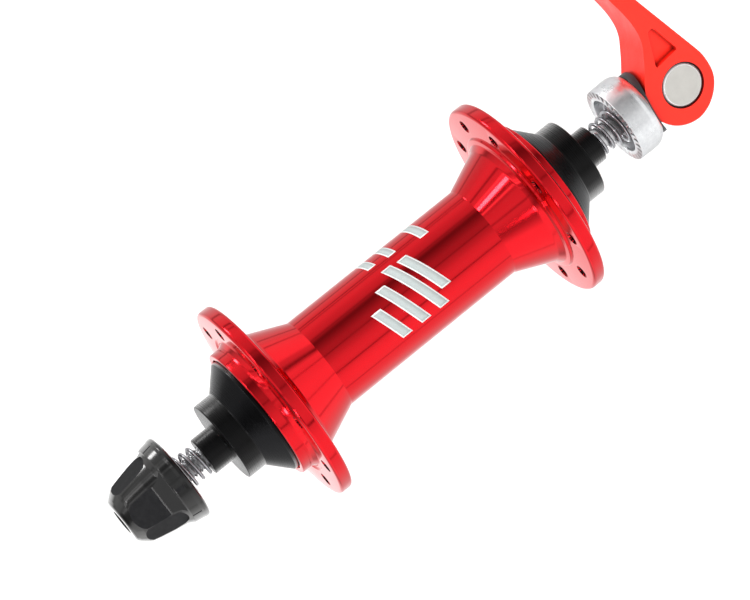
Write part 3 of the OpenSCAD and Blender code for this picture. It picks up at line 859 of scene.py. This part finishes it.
nut_profile = [
    (8.95, 61.3), (10.05, 61.3, 0.15), (10.3, 61.6, 0.15), (10.3, 62.2, 0.5), (10.1, 62.9, 0.8), (9.85, 64.4), (9.75, 65.0, 0.25),
    (9.55, 65.25, 0.3), (9.3, 65.7, 0.4), (8.95, 66.3, 0.6), (8.45, 69.3, 2), (7.75, 72.5, 2), (7.3, 74.3, 0.8), (6.9, 75.0, 0.6), (5.8, 76.3, 0.6),
    (5.2, 76.9, 0.3), (4.8, 77.1, 0.2), (2.95, 77.1, 0.15), (2.65, 76.8, 0.1), (2.65, 74.4),
    (4.5, 74.4), (4.5, 64.0), (6.9, 64.0), (6.9, 62.35), (8.95, 62.35)]
nut = lathe("nut_body_milled", nut_profile, -1, segs=144, seg=4)
for k in range(3):
    for ang, shape, arch in (
        (40 + 120 * k, [(5.9, 78), (7.75, 68.5), (7.89, 68.2), (7.95, 65.25), (13, 65.25), (13, 78)], False),
        (86 + 120 * k, [(6.14, 78), (8.7, 65.7), (13, 65.7), (13, 78)], True),
    ):
        # outline (radius, distance) -> +Z and -Y, thickness along X, then turned about Y
        spin = Matrix.Rotation(math.radians(ang), 4, "Y")
        tool = prism("t", shape, 9, spin @ Matrix(((0, 0, 1, 0), (0, -1, 0, 0), (1, 0, 0, 0), (0, 0, 0, 1))))
        if arch:
            # round end towards the base ring, seen along the radius
            top = [(3.3 * math.cos(math.radians(d)), 69.0 - 3.3 * math.sin(math.radians(d))) for d in range(0, 181, 6)]
            plan = top + [(-3.3, 81), (3.3, 81)]
            cut(tool, prism("t", plan, 30, spin @ Matrix(((1, 0, 0, 0), (0, -1, 0, 0), (0, 0, -1, 0), (0, 0, 0, 1)))), "INTERSECT")
        cut(nut, tool, angle=13)
bevel(nut, 0.22, 3, 27, angle=13.5)
tidy(nut, 13.5)


def nut_panel(f):
    """1 on the milled flats and inside the bore."""
    n, c = f.normal, f.center
    for k in range(3):
        for ang, tilt in ((40 + 120 * k, 11.0), (86 + 120 * k, 11.75)):
            a, b = math.radians(ang), math.radians(tilt)
            if n.dot(Vector((math.cos(b) * math.sin(a), -math.sin(b), math.cos(b) * math.cos(a)))) > 0.9985:
                return 1.0
    return 1.0 if math.hypot(c.x, c.z) < 2.9 * MM else 0.0


at = nut.data.attributes.new("panel", "FLOAT", "FACE")
for f in nut.data.polygons:
    at.data[f.index].value = nut_panel(f)
piece(nut, "nut_set", "nut", "nut_body")


def spring_mesh(name, side):
    turns, steps, sides, wire = 4.25, 300, 14, 0.4
    y0, y1 = 55.45, 63.55
    verts, faces = [], []
    for i in range(steps + 1):
        t = i / steps
        a = 2 * math.pi * turns * t
        if side < 0:
            a = math.pi - a
        r = 3.45 + 2.75 * t**4
        y = y0 + (y1 - y0) * t
        w = wire * (0.55 + 0.45 * smooth(min(t, 1 - t) / 0.004))
        for j in range(sides):
            q = 2 * math.pi * j / sides
            rj = r + w * math.cos(q)
            verts.append((rj * math.sin(a) * MM, side * (y + w * math.sin(q)) * MM, rj * math.cos(a) * MM))
    for i in range(steps):
        for j in range(sides):
            k = (j + 1) % sides
            faces.append((i * sides + j, i * sides + k, (i + 1) * sides + k, (i + 1) * sides + j))
    faces.append(tuple(range(sides - 1, -1, -1)))
    faces.append(tuple(steps * sides + j for j in range(sides)))
    me = bpy.data.meshes.new(name)
    me.from_pydata(verts, [], faces)
    bm = bmesh.new()
    bm.from_mesh(me)
    bmesh.ops.recalc_face_normals(bm, faces=bm.faces)
    bm.to_mesh(me)
    bm.free()
    return finish_mesh(new_object(name, me), 50)


piece(spring_mesh("lever_spring_coiled", 1), "seat_set", "spring", "lever_spring")
piece(spring_mesh("nut_spring_coiled", -1), "washer_set", "spring", "nut_spring")

# ------------------------------------------------------------------ CAD nodes that stay as they are
KEEP = {
    "axle": "alu", "cap_oring_right": "rubber", "cap_oring_left": "rubber",
    "inner_race_right": "race", "inner_race_left": "race", "outer_race_right": "race", "outer_race_left": "race",
    "bearing_balls_right": "ball", "bearing_balls_left": "ball", "ball_cage_right": "cage", "ball_cage_left": "cage",
    "outboard_seal_right": "rubber", "outboard_seal_left": "rubber", "inboard_seal_right": "rubber", "inboard_seal_left": "rubber",
    "nut_insert": "insert", "nut_lock_ring": "nylon",
}
for name, key in KEEP.items():
    dress(N[name], key)
    finish_mesh(N[name], 30)

# ------------------------------------------------------------------ stage
me = bpy.data.meshes.new("floor")
me.from_pydata([(-3, -3, -0.06), (3, -3, -0.06), (3, 3, -0.06), (-3, 3, -0.06)], [], [(0, 1, 2, 3)])
floor = new_object("floor", me)
fm = Nodes("floor_paper")
fm.set(Base__Color=(0.93, 0.93, 0.93), Roughness=0.9, Normal=fm.bump(fm.noise(60, 4, 0.6), 0.05, 0.2))
me.materials.append(fm.mat)
floor.visible_glossy = False


GLINTS = ((0.640, -0.626, 0.445, 4.5), (0.44, -0.88, 0.20, 4.0), (-0.315, -0.498, 0.811, 4.5), (-0.890, -0.095, 0.446, 7.5))


def world():
    w = bpy.data.worlds.new("studio")
    SCENE.world = w
    w.use_nodes = True
    t = w.node_tree
    t.nodes.clear()
    out = t.nodes.new("ShaderNodeOutputWorld")
    bg = t.nodes.new("ShaderNodeBackground")
    t.links.new(bg.outputs[0], out.inputs[0])
    co = t.nodes.new("ShaderNodeTexCoord")
    sep = t.nodes.new("ShaderNodeSeparateXYZ")
    t.links.new(co.outputs["Generated"], sep.inputs[0])

    def mth(op, a, b=None, c=None):
        n = t.nodes.new("ShaderNodeMath")
        n.operation = op
        for i, x in enumerate((a, b, c)):
            if x is None:
                continue
            if isinstance(x, (int, float)):
                n.inputs[i].default_value = x
            else:
                t.links.new(x, n.inputs[i])
        return n.outputs[0]

    # angle about the hub axis, from +Z towards +X, as 0..1 for -180..180 degrees
    ang = mth("ADD", mth("DIVIDE", mth("ARCTAN2", sep.outputs[0], sep.outputs[2]), 2 * math.pi), 0.5)

    def ramp(stops):
        n = t.nodes.new("ShaderNodeValToRGB")
        n.color_ramp.interpolation = "LINEAR"
        e = n.color_ramp.elements
        while len(e) > 1:
            e.remove(e[-1])
        first = True
        for deg, v in stops:
            pos = deg / 360 + 0.5
            if first:
                e[0].position = pos
                el = e[0]
                first = False
            else:
                el = e.new(pos)
            g = v / 2
            el.color = (g, g, g, 1)
        t.links.new(ang, n.inputs[0])
        return n.outputs[0]

    mid = ramp([
        (-180, 1.0), (-116, 0.80), (-88, 0.98), (-69, 0.93), (-53, 1.0), (-39, 0.82), (-30, 0.74), (-26, 0.60), (-15, 0.19), (-11, 0.2), (-1, 0.34), (11, 0.52), (22, 0.53),
        (34, 0.72), (45, 0.94), (57, 1.04), (66.5, 0.97), (72, 1.0), (81, 1.2), (95, 1.31), (109, 1.27), (125, 1.18), (144, 1.15), (172, 0.9), (180, 1.0)])
    far = ramp([
        (-180, 1.0), (-112, 1.1), (-107, 1.1), (-101, 0.42), (-97, 0.40), (-93, 0.57), (-82, 0.80), (-60, 1.05), (-40, 0.95), (-33, 1.0), (-21, 1.0),
        (-18, 0.58), (-9, 0.42), (-2, 0.55), (6, 0.90), (21, 0.95), (40, 0.93), (48, 0.74), (61, 0.42), (67, 0.58), (74, 0.86), (80, 1.12), (86, 1.38),
        (128, 1.42), (144, 1.35), (154, 1.1), (163, 0.8), (170, 0.55), (175, 0.65), (180, 1.0)])
    near = ramp([
        (-180, 1.0), (-134, 0.9), (-123, 0.8), (-117, 0.62), (-110, 0.85), (-102, 1.05), (-86, 1.05), (-80, 1.25), (-62, 1.32), (-34, 1.37), (-29, 0.9),
        (-20, 0.84), (-14, 0.44), (-9, 0.44), (-2, 1.0), (3, 1.25), (11, 1.17), (30, 1.24), (52, 1.37), (68, 1.35), (84, 1.4), (112, 1.45), (136, 1.4),
        (152, 1.15), (165, 1.0), (180, 1.0)])

    def mix(f, a, b):
        n = t.nodes.new("ShaderNodeMix")
        n.data_type = "RGBA"
        t.links.new(f, n.inputs[0])
        t.links.new(a, n.inputs[6])
        t.links.new(b, n.inputs[7])
        return n.outputs[2]

    def step(v, lo, hi):
        n = t.nodes.new("ShaderNodeMapRange")
        n.interpolation_type = "SMOOTHSTEP"
        n.inputs["From Min"].default_value = lo
        n.inputs["From Max"].default_value = hi
        t.links.new(v, n.inputs["Value"])
        return n.outputs[0]

    # thin dark gaps between the light panels, drawn as lines along the barrel
    deg = mth("MULTIPLY", mth("SUBTRACT", ang, 0.5), 360.0)

    def seams(colour, gaps):
        k = None
        for at, half, depth in gaps:
            near_gap = mth("SUBTRACT", 1.0, mth("MINIMUM", mth("DIVIDE", mth("ABSOLUTE", mth("SUBTRACT", deg, at)), half * 2), 1.0))
            one = mth("SUBTRACT", 1.0, mth("MULTIPLY", near_gap, depth))
            k = one if k is None else mth("MULTIPLY", k, one)
        n = t.nodes.new("ShaderNodeVectorMath")
        n.operation = "SCALE"
        t.links.new(colour, n.inputs[0])
        t.links.new(k, n.inputs["Scale"])
        return n.outputs[0]

    mid = seams(mid, ((-95, 1.5, 0.75), (-71, 1.2, 0.75), (-64, 1.0, 0.6), (-24, 1.2, 0.35), (23, 1.0, 0.6), (69, 1.2, 0.8), (116, 1.2, 0.5)))
    far = seams(far, ((-48, 2.0, 0.65), (-31, 1.6, -1.8), (-23, 2.0, -2.8), (-5, 2.0, -3.0), (30, 1.8, 0.5), (133, 1.2, 0.45)))
    near = seams(near, ((-74, 1.4, 0.65), (-11, 2.5, 0.5), (19, 1.2, 0.7), (76, 1.2, 0.6), (118, 1.4, 0.65)))
    c = mix(step(mth("MULTIPLY", sep.outputs[1], -1.0), 0.1, 0.35), mid, far)
    c = mix(step(sep.outputs[1], 0.45, 0.7), c, near)

    def spot(colour, direction, inner, outer, value):
        """Round bright patch; inner and outer radius in degrees."""
        v = Vector(direction).normalized()
        n = t.nodes.new("ShaderNodeVectorMath")
        n.operation = "DOT_PRODUCT"
        n.inputs[1].default_value = v
        t.links.new(co.outputs["Generated"], n.inputs[0])
        rgb = t.nodes.new("ShaderNodeRGB")
        rgb.outputs[0].default_value = (value, value, value, 1)
        return mix(step(n.outputs["Value"], math.cos(math.radians(outer)), math.cos(math.radians(inner))), colour, rgb.outputs[0])

    # the white backdrop behind the hub, seen in faces that are nearly edge-on
    c = spot(c, (-0.462, -0.174, -0.870), 9, 20, 0.62)
    # the dark fork tips beyond both ends of the hub
    c = spot(c, (0, 1, 0), 12, 30, 0.06)
    c = spot(c, (0, -1, 0), 8, 24, 0.10)
    for x, y, z, radius in GLINTS:
        c = spot(c, (x, y, z), radius * 0.6, radius, 8.0)
    lp = t.nodes.new("ShaderNodeLightPath")
    white = t.nodes.new("ShaderNodeRGB")
    white.outputs[0].default_value = (0.5, 0.5, 0.5, 1)
    c = mix(lp.outputs["Is Camera Ray"], c, white.outputs[0])
    t.links.new(c, bg.inputs[0])
    bg.inputs[1].default_value = 2.0


world()


def area(name, at, look, size, power, size_y=None, colour=(1, 1, 1)):
    li = bpy.data.lights.new(name, "AREA")
    li.shape = "RECTANGLE" if size_y else "SQUARE"
    li.size = size
    if size_y:
        li.size_y = size_y
    li.energy = power
    li.color = colour
    o = bpy.data.objects.new(name, li)
    SCENE.collection.objects.link(o)
    d = Vector(look) - Vector(at)
    o.location = at
    o.rotation_euler = d.to_track_quat("-Z", "Y").to_euler()
    o.visible_glossy = False
    return o


area("key", (0.5, -0.35, 0.9), (0, 0, 0), 0.7, 9.0)
area("fill", (-0.7, 0.5, 0.6), (0, 0, 0), 0.8, 4.0)

# ------------------------------------------------------------------ camera
CAM_D = 0.70
PX_MM = 4.63
U0, V0 = 401.0, 297.8
AL, BE, TH = math.radians(80.0), math.radians(-38.8), math.radians(62.0)
ya = Vector((math.sin(AL) * math.cos(BE), math.sin(AL) * math.sin(BE), math.cos(AL)))
fwd = Vector((0, 0, 1))
e1 = ya.cross(fwd).normalized()
e2 = ya.cross(e1)
za = e1 * math.cos(TH) + e2 * math.sin(TH)
xa = ya.cross(za)
# camera axes in the frame
right = Vector((xa.x, ya.x, za.x))
down = Vector((xa.y, ya.y, za.y))
look = Vector((xa.z, ya.z, za.z))
f_px = PX_MM / MM * CAM_D
origin_in_cam = Vector(((U0 - 375) / f_px * CAM_D, (V0 - 300) / f_px * CAM_D, CAM_D))
pos = -(right * origin_in_cam.x + down * origin_in_cam.y + look * origin_in_cam.z)
cam = bpy.data.cameras.new("camera")
cam.sensor_width = 36
cam.lens = f_px * 36 / 750
cam.clip_start = 0.01
cam_o = bpy.data.objects.new("camera", cam)
SCENE.collection.objects.link(cam_o)
up = -down
back = -look
cam_o.matrix_world = Matrix((
    (right.x, up.x, back.x, pos.x), (right.y, up.y, back.y, pos.y), (right.z, up.z, back.z, pos.z), (0, 0, 0, 1)))
SCENE.camera = cam_o
SCENE.view_settings.view_transform = "Standard"
SCENE.view_settings.look = "None"
